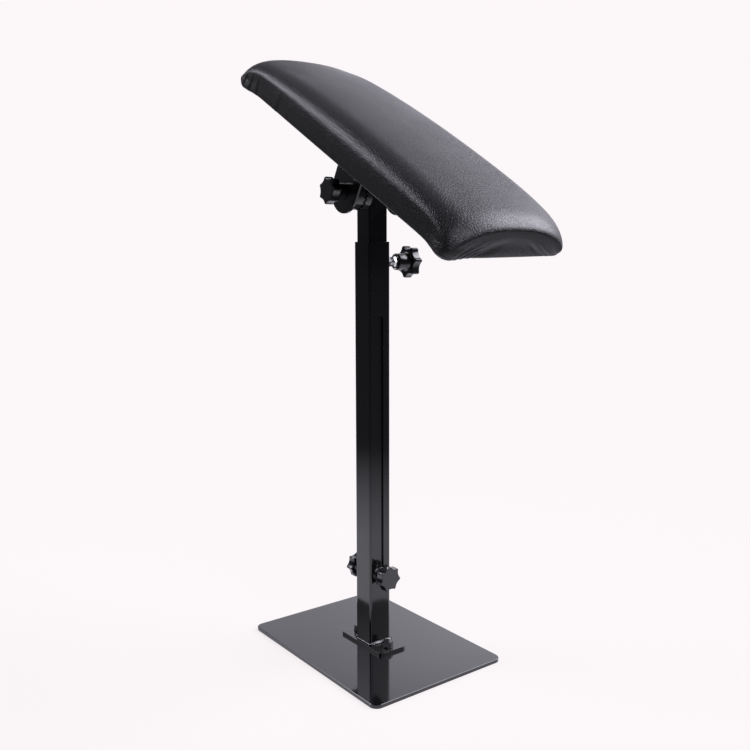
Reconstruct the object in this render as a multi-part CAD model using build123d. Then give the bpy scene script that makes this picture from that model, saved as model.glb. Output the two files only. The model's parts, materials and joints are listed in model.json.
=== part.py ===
"""Armrest stand: a tilting padded armrest on a height-adjustable square post.

Millimetres, +Z up, origin at the centre of the base plate's underside.
+X is the way the pad slopes down, +Y is the side that the height clamp knob stands on.
"""
import math
import os

from build123d import *

# Base
base_length = 300.0
base_width = 220.0
base_thickness = 5.0
base_corner_radius = 11.0
base_edge_chamfer = 0.6
flange_length = 96.0
flange_width = 45.0
flange_thickness = 4.0
flange_corner_radius = 5.0
flange_screw_offset = 34.0

# Post
outer_side = 35.0
outer_wall = 2.0
outer_corner_radius = 3.0
outer_top_height = 575.0
slide_gap = 0.5
inner_wall = 1.5
inner_corner_radius = 2.5
inner_top_above_pivot = 24.0
inner_tail_below_studs = 16.0
slot_width = 11.0
slot_bottom_height = 98.0
slot_top_height = 477.0
stud_rest_lift = 12.0
clamp_height = 548.0
weld_leg = 4.0
weld_slope_share = 0.9

# Threaded parts
thread_radius = 4.0
thread_gap = 0.05
stud_hole_gap = 0.5
nut_across_flats = 13.0
nut_height = 6.5
nut_corner_cut = 0.5
weld_nut_across_flats = 14.0
weld_nut_height = 6.5
clamp_nut_height = 10.0
washer_radius = 8.0
washer_thickness = 1.6
slot_washer_radius = 11.0
washer_hole_gap = 0.25
face_gap = 0.1
screw_head_radius = 8.0
screw_head_recess = 0.3
screw_tail = 0.3

# Star knobs
lobe_count = 7
scoop_share = 0.43
small_tip_radius = 18.0
small_valley_radius = 15.0
small_star_thickness = 12.5
small_hub_radius = 10.5
slot_hub_length = 9.0
tilt_hub_length = 15.0
large_tip_radius = 22.5
large_valley_radius = 18.2
large_star_thickness = 12.7
large_hub_radius = 11.5
large_hub_length = 17.0
clamp_hub_face = 41.0
knob_rim_chamfer = 1.2
lobe_round = 1.5
knob_cap_thickness = 3.0
clamp_knob_angle = -4.0
front_knob_angle = 28.6
rear_knob_angle = 11.0

# Tilt joint
pivot_height = 640.5
rest_tilt = 29.4
pivot_radius = 5.0
pivot_gap = 0.05
disc_radius = 24.0
post_disc_thickness = 11.0
tooth_count = 24
tooth_depth = 3.0
tooth_inner_radius = 14.0
crest_gap = 0.15
disc_recess_depth = 4.0
ear_inner_offset = 43.0
ear_thickness = 3.0
ear_radius = 29.0
spacer_radius = 10.0
pivot_head_across_flats = 17.0
pivot_head_height = 6.4
pivot_washer_radius = 10.5
pivot_washer_thickness = 2.0
plate_length = 110.0
plate_width = 104.0
plate_thickness = 4.0
plate_corner_radius = 6.0
plate_screw_end_inset = 12.0
plate_screw_side_inset = 22.0
ear_weld_leg = 3.0

# Pad
pad_length = 516.0
pad_width = 188.0
pad_rise = 47.7
pad_shift = 6.5
pad_side_height = 42.0
pad_crown_across = 7.0
pad_crown_along = 9.0
pad_end_sag = 10.0
pad_corner_radius = 16.0
pad_corner_fall_share = 0.45
pad_end_round = 28.0
pad_shoulder = 14.0
pad_shoulder_share = 0.29
pad_side_tuck = 3.0
pad_side_lean = 1.5
pad_waist = 1.0
end_station_shares = (0.0, 0.12, 0.42, 1.0)
middle_station_shares = (0.16, 0.32)
cover_thickness = 1.2
cover_hem = 34.0
board_thickness = 12.0
board_edge_gap = 7.0
board_corner_radius = 22.0
lining_thickness = 0.6
lining_inset = 14.0
lining_corner_radius = 16.0
pad_screw_radius = 3.0
pad_screw_gap = 0.05
pad_screw_head_radius = 5.5
pad_screw_head_height = 3.3
pad_screw_length = 16.0
tee_barrel_radius = 4.0
tee_barrel_length = 9.0
tee_flange_radius = 9.5
tee_flange_thickness = 1.5
soft_gap = 0.3
staple_length = 10.0
staple_width = 1.2
staple_height = 0.5
staple_edge_inset = 6.0
staple_pitch = 42.0

# One overrun for every cut
overrun = 1.0

# Worked-out places
flange_top = base_thickness + flange_thickness
inner_side = outer_side - 2 * outer_wall - 2 * slide_gap
outer_face = outer_side / 2
inner_face = inner_side / 2
slot_stud_height = slot_bottom_height + stud_rest_lift
inner_bottom_height = slot_stud_height - inner_tail_below_studs
inner_top_height = pivot_height + inner_top_above_pivot
disc_face_offset = inner_face + post_disc_thickness
ear_outer_offset = ear_inner_offset + ear_thickness
underside = pad_rise
plate_top = underside - lining_thickness
plate_bottom = plate_top - plate_thickness
pad_place = Location((0, 0, pivot_height), (0, rest_tilt, 0))

parts = {}


def rod(radius, length):
    """Solid round bar from the origin along +Z."""
    return Cylinder(radius, length, align=(Align.CENTER, Align.CENTER, Align.MIN))


def hex_bar(across_flats, length):
    """Six-sided bar from the origin along +Z, one corner on +X."""
    return extrude(RegularPolygon(across_flats / 2, 6, major_radius=False), length)


def ring(outer_radius, inner_radius, length):
    return rod(outer_radius, length) - Pos(0, 0, -overrun) * rod(inner_radius, length + 2 * overrun)


def hex_nut(across_flats, height, hole_radius):
    """Nut from the origin along +Z, its corners turned off by a cone at the outer end."""
    corner = across_flats / 2 / math.cos(math.pi / 6)
    crown = Cone(corner - nut_corner_cut + height, corner - nut_corner_cut, height,
                 align=(Align.CENTER, Align.CENTER, Align.MIN))
    body = hex_bar(across_flats, height) & crown
    return body - Pos(0, 0, -overrun) * rod(hole_radius, height + 2 * overrun)


def square_tube(side, wall, corner_radius, length):
    outside = extrude(RectangleRounded(side, side, corner_radius), length)
    hollow = side - 2 * wall
    inside = RectangleRounded(hollow, hollow, corner_radius - wall / 2)
    return outside - Pos(0, 0, -overrun) * extrude(inside, length + 2 * overrun)


def along_x(shape, start):
    return Location((start, 0, 0), (0, 90, 0)) * shape


def along_minus_x(shape, start):
    return Location((-start, 0, 0), (0, -90, 0)) * shape


def along_y(shape, start):
    return Location((0, start, 0), (-90, 0, 0)) * shape


def along_minus_y(shape, start):
    return Location((0, -start, 0), (90, 0, 0)) * shape


def star_outline(tip_radius, valley_radius):
    """Star with rounded lobes: a disc with an arc scooped out between each two lobes."""
    half_scoop = math.radians(360 * scoop_share / lobe_count)
    reach = tip_radius * math.cos(half_scoop) - valley_radius
    half_chord = tip_radius * math.sin(half_scoop)
    scoop_radius = (reach ** 2 + half_chord ** 2) / (2 * reach)
    scoops = PolarLocations(valley_radius + scoop_radius, lobe_count, 180 / lobe_count)
    outline = Circle(tip_radius) - scoops * Circle(scoop_radius)
    return fillet(outline.vertices(), lobe_round)


def star_knob(tip_radius, valley_radius, star_thickness, hub_radius, hub_length, bore_radius):
    """Moulded star knob from the origin along +Z: hub first, then the star, with a blind bore."""
    star = extrude(star_outline(tip_radius, valley_radius), star_thickness)
    star = chamfer(star.faces().sort_by(Axis.Z)[-1].edges(), knob_rim_chamfer)
    knob = rod(hub_radius, hub_length) + Pos(0, 0, hub_length) * star
    bore_depth = hub_length + star_thickness - knob_cap_thickness
    return knob - Pos(0, 0, -overrun) * rod(bore_radius, bore_depth + overrun)


def base():
    """Base plate, foot flange and the two countersunk screws that join them."""
    plate = extrude(RectangleRounded(base_length, base_width, base_corner_radius), base_thickness)
    plate = chamfer(plate.faces().sort_by(Axis.Z)[-1].edges(), base_edge_chamfer)
    flange = extrude(RectangleRounded(flange_length, flange_width, flange_corner_radius), flange_thickness)
    flange = Pos(0, 0, base_thickness) * flange
    head_height = screw_head_radius - thread_radius
    head = Cone(screw_head_radius, thread_radius, head_height,
                align=(Align.CENTER, Align.CENTER, Align.MIN))
    shank_length = flange_top + washer_thickness + nut_height + screw_tail - screw_head_recess
    screw = Pos(0, 0, screw_head_recess) * (head + rod(thread_radius, shank_length))
    pocket = Cone(screw_head_radius + thread_gap + screw_head_recess, thread_radius + thread_gap,
                  head_height + screw_head_recess, align=(Align.CENTER, Align.CENTER, Align.MIN))
    hole = pocket + rod(thread_radius + thread_gap, flange_top + overrun)
    washer = Pos(0, 0, flange_top) * ring(washer_radius, thread_radius + washer_hole_gap, washer_thickness)
    nut = Pos(0, 0, flange_top + washer_thickness) * hex_nut(
        nut_across_flats, nut_height, thread_radius + thread_gap)
    places = Locations((-flange_screw_offset, 0), (flange_screw_offset, 0))
    for place in places:
        plate -= place * hole
        flange -= place * hole
    parts["base_plate"] = plate
    parts["foot_flange"] = flange
    parts["flange_screws"] = [place * screw for place in places]
    parts["flange_washers"] = [place * washer for place in places]
    parts["flange_nuts"] = [place * nut for place in places]


def outer_post():
    """Slotted outer tube, the weld round its foot and the nut welded on for the height clamp."""
    tube = Pos(0, 0, flange_top) * square_tube(
        outer_side, outer_wall, outer_corner_radius, outer_top_height - flange_top)
    slot_length = slot_top_height - slot_bottom_height
    slot_middle = (slot_top_height + slot_bottom_height) / 2
    slot = extrude(SlotOverall(slot_length, slot_width), outer_side / 2 + overrun, both=True)
    tube -= Location((0, 0, slot_middle), (0, 90, 0)) * slot
    hole = rod(thread_radius + stud_hole_gap, outer_side)
    tube -= Pos(0, 0, clamp_height) * along_y(hole, 0)
    bead = extrude(RectangleRounded(outer_side + 2 * weld_leg, outer_side + 2 * weld_leg,
                                    outer_corner_radius + weld_leg), weld_leg)
    bead = chamfer(bead.faces().sort_by(Axis.Z)[-1].edges(), weld_leg * weld_slope_share)
    bead -= extrude(RectangleRounded(outer_side, outer_side, outer_corner_radius), weld_leg + overrun)
    parts["outer_tube"] = tube
    parts["foot_weld"] = Pos(0, 0, flange_top) * bead
    parts["clamp_weld_nut"] = Pos(0, 0, clamp_height) * along_y(
        hex_nut(weld_nut_across_flats, clamp_nut_height, thread_radius + thread_gap), outer_face)


def height_clamp():
    """Clamp screw on the +Y face: stud, bright lock nut and the large star knob."""
    stud_start = inner_face + face_gap
    stud_end = clamp_hub_face + large_hub_length + large_star_thickness - knob_cap_thickness
    stud = along_y(rod(thread_radius, stud_end - stud_start), stud_start)
    lock_nut = along_y(hex_nut(nut_across_flats, nut_height, thread_radius + thread_gap),
                       clamp_hub_face - nut_height)
    knob = along_y(star_knob(large_tip_radius, large_valley_radius, large_star_thickness,
                             large_hub_radius, large_hub_length, thread_radius), clamp_hub_face)
    parts["clamp_stud"] = Pos(0, 0, clamp_height) * stud
    parts["clamp_lock_nut"] = Pos(0, 0, clamp_height) * lock_nut
    parts["clamp_knob"] = Pos(0, 0, clamp_height) * Rot(0, clamp_knob_angle, 0) * knob


def inner_post():
    """Sliding inner tube with the nuts for the slot screws and the toothed disc of the tilt joint."""
    tube = Pos(0, 0, inner_bottom_height) * square_tube(
        inner_side, inner_wall, inner_corner_radius, inner_top_height - inner_bottom_height)
    stud_hole = Location((0, 0, slot_stud_height), (0, 90, 0)) * Cylinder(
        thread_radius + stud_hole_gap, inner_side + overrun)
    pivot_hole = Location((0, 0, pivot_height), (90, 0, 0)) * Cylinder(
        pivot_radius + pivot_gap, inner_side + overrun)
    parts["inner_tube"] = tube - stud_hole - pivot_hole
    nut = hex_nut(weld_nut_across_flats, weld_nut_height, thread_radius + thread_gap)
    seat = inner_face - inner_wall
    parts["slot_weld_nuts"] = [
        Pos(0, 0, slot_stud_height) * along_minus_x(nut, -seat),
        Pos(0, 0, slot_stud_height) * along_x(nut, -seat),
    ]
    disc = toothed_disc(post_disc_thickness)
    parts["post_toothed_disc"] = Pos(0, 0, pivot_height) * along_minus_y(disc, inner_face)
    half_run = math.sqrt(disc_radius ** 2 - (inner_face + weld_leg) ** 2)
    corner = Polyline((-inner_corner_radius, 0), (weld_leg, 0), (0, weld_leg + inner_corner_radius),
                      (-inner_corner_radius, weld_leg + inner_corner_radius), close=True)
    strip = Location((inner_face, -inner_face, pivot_height)) * extrude(make_face(corner), half_run, both=True)
    post = Pos(0, 0, pivot_height) * extrude(
        RectangleRounded(inner_side, inner_side, inner_corner_radius), half_run + overrun, both=True)
    bead = strip - post
    parts["disc_welds"] = [bead, mirror(bead, Plane.YZ)]


def toothed_disc(thickness):
    """Disc from the origin along +Z whose far face has radial teeth that narrow towards the centre.

    Each groove is a straight V whose floor line, carried inwards, rises to the middle of the face.
    """
    disc = rod(disc_radius, thickness)
    fall = tooth_depth / disc_radius
    start = tooth_inner_radius - overrun
    run = disc_radius + overrun - start
    height = tooth_depth + overrun
    half_width = height * math.tan(math.pi / tooth_count) / fall
    outline = make_face(Polyline((0, 0), (half_width, height), (-half_width, height), close=True))
    section = Plane((start, 0, thickness - fall * start), x_dir=(0, 1, 0), z_dir=(1, 0, 0)) * outline
    groove = extrude(section, run * math.hypot(1, fall), dir=(1, 0, -fall))
    for place in PolarLocations(0, tooth_count):
        disc -= place * groove
    recess = Pos(0, 0, thickness - disc_recess_depth) * rod(tooth_inner_radius, disc_recess_depth + overrun)
    hole = Pos(0, 0, -overrun) * rod(pivot_radius + pivot_gap, thickness + 2 * overrun)
    return disc - recess - hole


def slot_screws():
    """Two screws through the slots into the inner tube, each with its washer and small star knob."""
    washer_start = outer_face + face_gap
    hub_start = washer_start + washer_thickness + face_gap
    stud_start = inner_face - inner_wall - weld_nut_height
    stud_end = hub_start + slot_hub_length + small_star_thickness - knob_cap_thickness
    stud = rod(thread_radius, stud_end - stud_start)
    washer = ring(slot_washer_radius, thread_radius + washer_hole_gap, washer_thickness)
    knob = star_knob(small_tip_radius, small_valley_radius, small_star_thickness,
                     small_hub_radius, slot_hub_length, thread_radius)
    raise_up = Pos(0, 0, slot_stud_height)
    parts["slot_washers"] = [
        raise_up * along_x(washer, washer_start),
        raise_up * along_minus_x(washer, washer_start),
    ]
    parts["front_slot_stud"] = raise_up * along_x(stud, stud_start)
    parts["rear_slot_stud"] = raise_up * along_minus_x(stud, stud_start)
    parts["front_slot_knob"] = raise_up * along_x(Rot(0, 0, front_knob_angle) * knob, hub_start)
    parts["rear_slot_knob"] = raise_up * along_minus_x(Rot(0, 0, rear_knob_angle) * knob, hub_start)


def tilt_bracket():
    """Everything of the tilt joint that swings with the pad, in the pad's frame at the pivot."""
    boss_length = ear_inner_offset - disc_face_offset - crest_gap
    boss = along_y(toothed_disc(boss_length), -ear_inner_offset)
    boss = Rot(0, 180 / tooth_count, 0) * boss
    ear_face = Circle(ear_radius) + Pos(0, plate_bottom / 2) * Rectangle(2 * ear_radius, plate_bottom)
    ear = extrude(Plane.XZ * ear_face, ear_thickness)
    ear -= Rot(90, 0, 0) * Cylinder(pivot_radius + pivot_gap, 2 * (ear_thickness + overrun))
    near_ear = Pos(0, -ear_inner_offset, 0) * ear
    far_ear = Pos(0, ear_outer_offset, 0) * ear
    plate = Pos(0, 0, plate_bottom) * extrude(
        RectangleRounded(plate_length, plate_width, plate_corner_radius), plate_thickness)
    for place in screw_places():
        plate -= place * Pos(0, 0, plate_bottom - overrun) * rod(
            pad_screw_radius + pad_screw_gap, plate_thickness + 2 * overrun)
    corner = Polyline((0, 0), (ear_weld_leg, 0), (0, -ear_weld_leg), close=True)
    bead = extrude(Plane.YZ * make_face(corner), ear_radius, both=True)
    near_bead = Pos(0, -ear_inner_offset, plate_bottom) * bead
    spacer_length = ear_inner_offset - inner_face - 2 * face_gap
    spacer = along_y(ring(spacer_radius, pivot_radius + pivot_gap, spacer_length), inner_face + face_gap)
    washer_start = ear_outer_offset
    head_start = washer_start + pivot_washer_thickness
    knob_start = ear_outer_offset + face_gap
    bolt_end = knob_start + tilt_hub_length + small_star_thickness - knob_cap_thickness
    shank = along_minus_y(rod(pivot_radius, bolt_end + head_start), -head_start)
    head = along_y(hex_bar(pivot_head_across_flats, pivot_head_height), head_start)
    washer = along_y(ring(pivot_washer_radius, pivot_radius + washer_hole_gap, pivot_washer_thickness),
                     washer_start)
    knob = star_knob(small_tip_radius, small_valley_radius, small_star_thickness,
                     small_hub_radius, tilt_hub_length, pivot_radius + pivot_gap)
    parts["pad_toothed_boss"] = pad_place * boss
    parts["near_ear"] = pad_place * near_ear
    parts["far_ear"] = pad_place * far_ear
    parts["bracket_plate"] = pad_place * plate
    parts["ear_welds"] = [pad_place * near_bead, pad_place * mirror(near_bead, Plane.XZ)]
    parts["pivot_spacer"] = pad_place * spacer
    parts["pivot_bolt"] = pad_place * (shank + head)
    parts["pivot_washer"] = pad_place * washer
    parts["tilt_knob"] = pad_place * along_minus_y(Rot(0, 0, rest_tilt) * knob, knob_start)


def screw_places():
    """The four places where the bracket plate is screwed to the pad's board."""
    x_reach = plate_length / 2 - plate_screw_end_inset
    y_reach = plate_width / 2 - plate_screw_side_inset
    return GridLocations(2 * x_reach, 2 * y_reach, 2, 2)


def cushion_section(end_distance):
    """Closed outline across the pad at a distance from its end: flat below, tucked sides, crowned top."""
    along_share = 1 - end_distance / (pad_length / 2)
    cut = max(pad_corner_radius - end_distance, 0)
    narrowing = pad_corner_radius - math.sqrt(pad_corner_radius ** 2 - cut ** 2)
    half_width = pad_width / 2 - narrowing - pad_waist * (1 - along_share ** 2)
    fall = max(pad_end_round - end_distance, 0)
    drop = pad_end_round - math.sqrt(pad_end_round ** 2 - fall ** 2)
    full_height = pad_side_height + pad_crown_across + pad_crown_along * (1 - along_share ** 2)
    crown_height = full_height - drop
    sag_share = (pad_crown_across + pad_end_sag * along_share ** 4) / full_height
    corner_share = 1 - pad_corner_fall_share * drop / pad_end_round
    shoulder_height = crown_height * (1 - sag_share) * corner_share
    shoulder_rise = pad_shoulder * shoulder_height / (pad_side_height + pad_crown_along)
    side_top = shoulder_height - shoulder_rise
    foot = half_width - pad_side_tuck
    side_edge = half_width - pad_side_lean
    top_edge = half_width - pad_shoulder
    bottom = Line((-foot, 0), (foot, 0))
    right = ThreePointArc((foot, 0), (half_width, side_top / 2), (side_edge, side_top))
    right_top = ThreePointArc(
        (side_edge, side_top),
        (half_width - pad_shoulder * pad_shoulder_share, shoulder_height - shoulder_rise * pad_shoulder_share),
        (top_edge, shoulder_height))
    crown = ThreePointArc((top_edge, shoulder_height), (0, crown_height), (-top_edge, shoulder_height))
    left_top = mirror(right_top, Plane.YZ)
    left = mirror(right, Plane.YZ)
    return make_face([bottom, right, right_top, crown, left_top, left])


def cushion_form():
    """The upholstered pad's outer form, underside at z zero."""
    distances = [pad_end_round * share for share in end_station_shares]
    distances += [pad_length * share for share in middle_station_shares]
    half_length = pad_length / 2
    stations = [distance - half_length for distance in distances]
    stations += [half_length - distance for distance in reversed(distances)]
    sections = []
    for x in stations:
        place = Plane((x, 0, 0), x_dir=(0, 1, 0), z_dir=(1, 0, 0))
        sections.append(place * cushion_section(half_length - abs(x)))
    return loft(sections, ruled=True)


def pad():
    """Upholstered armrest: board, foam, cover with its turned-in hem, lining, screws and tee nuts."""
    outer = cushion_form()
    full_height = pad_side_height + pad_crown_along + pad_crown_across
    shrink = [(side - 2 * cover_thickness) / side for side in (pad_length, pad_width, full_height)]
    inner = Pos(0, 0, cover_thickness) * scale(outer, by=tuple(shrink))
    window = Box(pad_length - 2 * cover_hem, pad_width - 2 * cover_hem, 2 * (cover_thickness + overrun))
    cover = outer - inner - window
    board_length = pad_length - 2 * board_edge_gap
    board_width = pad_width - 2 * board_edge_gap - 2 * pad_waist
    board = Pos(0, 0, cover_thickness) * extrude(
        RectangleRounded(board_length, board_width, board_corner_radius), board_thickness)
    foam = inner - board
    lining = Pos(0, 0, -lining_thickness) * extrude(
        RectangleRounded(pad_length - 2 * lining_inset, pad_width - 2 * lining_inset, lining_corner_radius),
        lining_thickness)
    board_top = cover_thickness + board_thickness
    tee_hole = Pos(0, 0, -overrun) * rod(tee_barrel_radius + pad_screw_gap, board_top + 2 * overrun)
    screw_hole = Pos(0, 0, -overrun) * rod(pad_screw_radius + pad_screw_gap, 2 * overrun)
    flange_pocket = Pos(0, 0, board_top) * rod(
        tee_flange_radius + soft_gap, tee_flange_thickness + soft_gap)
    barrel = Pos(0, 0, board_top - tee_barrel_length) * ring(
        tee_barrel_radius, pad_screw_radius + pad_screw_gap, tee_barrel_length)
    tee = barrel + Pos(0, 0, board_top) * ring(
        tee_flange_radius, pad_screw_radius + pad_screw_gap, tee_flange_thickness)
    head_seat = plate_bottom - underside
    screw = Pos(0, 0, head_seat) * rod(pad_screw_radius, pad_screw_length)
    head = Pos(0, 0, head_seat - pad_screw_head_height) * rod(pad_screw_head_radius, pad_screw_head_height)
    shifted = pad_place * Pos(pad_shift, 0, underside)
    unshifted = pad_place * Pos(0, 0, underside)
    drilled = {}
    for name, solid in (("pad_board", board), ("pad_foam", foam), ("underside_lining", lining)):
        drilled[name] = Pos(pad_shift, 0, 0) * solid
    for place in screw_places():
        drilled["pad_board"] -= place * tee_hole
        drilled["pad_foam"] -= place * flange_pocket
        drilled["underside_lining"] -= place * screw_hole
    for name, solid in drilled.items():
        parts[name] = unshifted * solid
    parts["pad_cover"] = shifted * cover
    parts["pad_screws"] = [unshifted * place * (screw + head) for place in screw_places()]
    parts["tee_nuts"] = [unshifted * place * tee for place in screw_places()]
    parts["lining_staples"] = [shifted * staple for staple in staples()]


def staples():
    """Staple crowns round the edge of the lining, as far apart as the pitch allows."""
    half_x = pad_length / 2 - lining_inset - staple_edge_inset
    half_y = pad_width / 2 - lining_inset - staple_edge_inset
    crown = Box(staple_length, staple_width, staple_height,
                align=(Align.CENTER, Align.CENTER, Align.MAX))
    crown = Pos(0, 0, -lining_thickness) * crown
    solids = []
    for half_run, offset, turn in ((half_x, half_y, 0), (half_y, half_x, 90)):
        count = int(2 * (half_run - lining_corner_radius) / staple_pitch)
        for index in range(count + 1):
            run = (index - count / 2) * staple_pitch
            for side in (-1, 1):
                solids.append(Rot(0, 0, turn) * Pos(run, side * offset, 0) * crown)
    return solids


def write_parts():
    os.makedirs("parts", exist_ok=True)
    for name, shape in parts.items():
        solids = shape if isinstance(shape, list) else [shape]
        solids = [solid for item in solids for solid in item.solids()]
        body = solids[0] if len(solids) == 1 else Compound(children=solids)
        export_step(body, f"parts/{name}.step")


base()
outer_post()
height_clamp()
inner_post()
slot_screws()
tilt_bracket()
pad()
write_parts()
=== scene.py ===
"""Armrest stand: finishes, upholstery and fine detail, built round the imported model. Metres, +Z up."""

import json
import math
import random

import bmesh
import bpy
from mathutils import Matrix, Vector, noise
from mathutils.kdtree import KDTree


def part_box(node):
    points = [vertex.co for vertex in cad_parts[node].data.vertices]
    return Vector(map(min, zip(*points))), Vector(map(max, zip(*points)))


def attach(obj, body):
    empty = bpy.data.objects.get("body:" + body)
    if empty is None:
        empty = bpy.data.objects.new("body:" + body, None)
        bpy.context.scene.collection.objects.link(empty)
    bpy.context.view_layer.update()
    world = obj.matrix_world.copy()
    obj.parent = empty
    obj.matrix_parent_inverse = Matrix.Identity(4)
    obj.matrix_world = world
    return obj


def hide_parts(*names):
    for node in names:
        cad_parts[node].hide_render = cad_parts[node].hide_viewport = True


MM = 0.001

# Photograph's viewpoint: where the camera stands and how it is turned
CAMERA_AZIMUTH = math.radians(53.18)
CAMERA_AIM_SIDE = math.radians(-0.171)
CAMERA_PITCH = math.radians(7.853)
CAMERA_ROLL = math.radians(-0.149)
CAMERA_DISTANCE = 1184.3 * MM
CAMERA_HEIGHT = 556 * MM
CAMERA_LENS = 41.43

# Post and its screws, as the frame has them
POST_SIDE = 35 * MM
POST_CORNER = 3 * MM
POST_FOOT = 9 * MM
INNER_HALF = 15 * MM
SLOT_SCREW_HEIGHT = 110 * MM
SLOT_KNOB_START = 19.3 * MM
CLAMP_HEIGHT = 548 * MM
CLAMP_KNOB_START = 41 * MM
THREAD_START = 15.2 * MM
THREAD_LENGTH = 52.4 * MM
THREAD_RADIUS = 4 * MM
THREAD_PITCH = 1.25 * MM
THREAD_END_TAPER = 0.4 * MM

# Tilt joint, as the frame has it
PIVOT_HEIGHT = 640.5 * MM
REST_TILT = math.radians(29.4)
TILT_KNOB_START = 46.1 * MM
PLATE_BOTTOM = 43.1 * MM
EAR_INNER = 43 * MM
PAD_SCREW_X = 43 * MM
PAD_SCREW_Y = 30 * MM

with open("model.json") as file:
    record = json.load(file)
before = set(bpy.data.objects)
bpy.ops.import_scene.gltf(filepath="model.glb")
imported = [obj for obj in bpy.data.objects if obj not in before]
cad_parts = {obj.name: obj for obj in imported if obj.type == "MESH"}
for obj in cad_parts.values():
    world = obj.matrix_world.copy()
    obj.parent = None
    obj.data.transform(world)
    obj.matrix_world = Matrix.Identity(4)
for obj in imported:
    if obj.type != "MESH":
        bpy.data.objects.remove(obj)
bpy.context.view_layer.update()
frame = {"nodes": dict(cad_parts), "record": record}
scene = bpy.context.scene


def smooth_step(low, high, value):
    share = min(max((value - low) / (high - low), 0.0), 1.0)
    return share * share * (3 - 2 * share)


def bracket_matrix():
    """From the tilt bracket's frame, centred on the pivot, to the stand's frame at rest."""
    return Matrix.Translation((0, 0, PIVOT_HEIGHT)) @ Matrix.Rotation(REST_TILT, 4, "Y")


def pad_matrix():
    """From the pad's own frame, underside at z zero, to the stand's frame at rest."""
    return bracket_matrix() @ Matrix.Translation((PAD_SHIFT, 0, PAD_RISE))


def axis_matrix(start, direction, sideways):
    """From a frame whose +Z runs out along a direction, and whose +X is sideways."""
    outward = Vector(direction)
    across = Vector(sideways)
    matrix = Matrix((across, outward.cross(across), outward)).transposed().to_4x4()
    matrix.translation = Vector(start)
    return matrix


def new_mesh(name, vertices, faces):
    mesh = bpy.data.meshes.new(name)
    mesh.from_pydata([tuple(vertex) for vertex in vertices], [], faces)
    return mesh


def placed(name, data):
    """A new object, put in the scene."""
    thing = bpy.data.objects.new(name, data)
    scene.collection.objects.link(thing)
    return thing


def place_camera():
    yaw = CAMERA_AZIMUTH + CAMERA_AIM_SIDE
    forward = Vector((-math.sin(yaw) * math.cos(CAMERA_PITCH),
                      math.cos(yaw) * math.cos(CAMERA_PITCH),
                      -math.sin(CAMERA_PITCH)))
    right = Vector((math.cos(yaw), math.sin(yaw), 0.0))
    up = right.cross(forward)
    rolled_right = right * math.cos(CAMERA_ROLL) + up * math.sin(CAMERA_ROLL)
    rolled_up = up * math.cos(CAMERA_ROLL) - right * math.sin(CAMERA_ROLL)
    matrix = Matrix((rolled_right, rolled_up, -forward)).transposed().to_4x4()
    matrix.translation = (CAMERA_DISTANCE * math.sin(CAMERA_AZIMUTH),
                          -CAMERA_DISTANCE * math.cos(CAMERA_AZIMUTH), CAMERA_HEIGHT)
    data = bpy.data.cameras.new("camera")
    data.lens = CAMERA_LENS
    scene.camera = placed("camera", data)
    scene.camera.matrix_world = matrix


class Shader:
    """A small helper that adds nodes to the tree of a material or of the world."""

    def __init__(self, owner):
        owner.use_nodes = True
        self.owner = owner
        self.tree = owner.node_tree
        self.tree.nodes.clear()

    def put(self, value, socket):
        """Links an output to a socket, or sets a value on it."""
        if isinstance(value, bpy.types.NodeSocket):
            self.tree.links.new(value, socket)
        else:
            socket.default_value = value

    def node(self, kind, *values, **settings):
        """Adds a node: settings first, then inputs by name after in_, and its first inputs by order."""
        node = self.tree.nodes.new(kind)
        for key, value in settings.items():
            if key.startswith("in_"):
                self.put(value, node.inputs[key[3:].replace("_", " ")])
            else:
                setattr(node, key, value)
        for socket, value in zip(node.inputs, values):
            self.put(value, socket)
        return node

    def coordinates(self):
        return self.node("ShaderNodeTexCoord").outputs["Object"]

    def noise(self, scale, detail=3.0, roughness=0.5, coordinates=None, output="Fac"):
        return self.node("ShaderNodeTexNoise", in_Scale=scale, in_Detail=detail, in_Roughness=roughness,
                         in_Vector=coordinates or self.coordinates()).outputs[output]

    def ranged(self, value, low_in, high_in, low_out, high_out, kind="LINEAR"):
        return self.node("ShaderNodeMapRange", value, low_in, high_in, low_out, high_out,
                         interpolation_type=kind).outputs["Result"]

    def mixed(self, factor, first, second, data_type="RGBA"):
        return self.node("ShaderNodeMix", data_type=data_type, in_Factor=factor, in_A=first,
                         in_B=second).outputs["Result"]

    def bump(self, height, distance, **more):
        return self.node("ShaderNodeBump", in_Distance=distance, in_Height=height, **more).outputs["Normal"]

    def math(self, operation, *values):
        return self.node("ShaderNodeMath", *values, operation=operation).outputs["Value"]

    def vector(self, operation, *values, output="Vector"):
        return self.node("ShaderNodeVectorMath", *values, operation=operation).outputs[output]

    def finish(self, **sockets):
        """Adds the surface shader with what its sockets get, and gives the material back."""
        named = {"in_" + key: value for key, value in sockets.items()}
        surface = self.node("ShaderNodeBsdfPrincipled", **named)
        self.node("ShaderNodeOutputMaterial", in_Surface=surface.outputs["BSDF"])
        return self.owner


def new_material(name):
    return Shader(bpy.data.materials.new(name))


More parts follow.
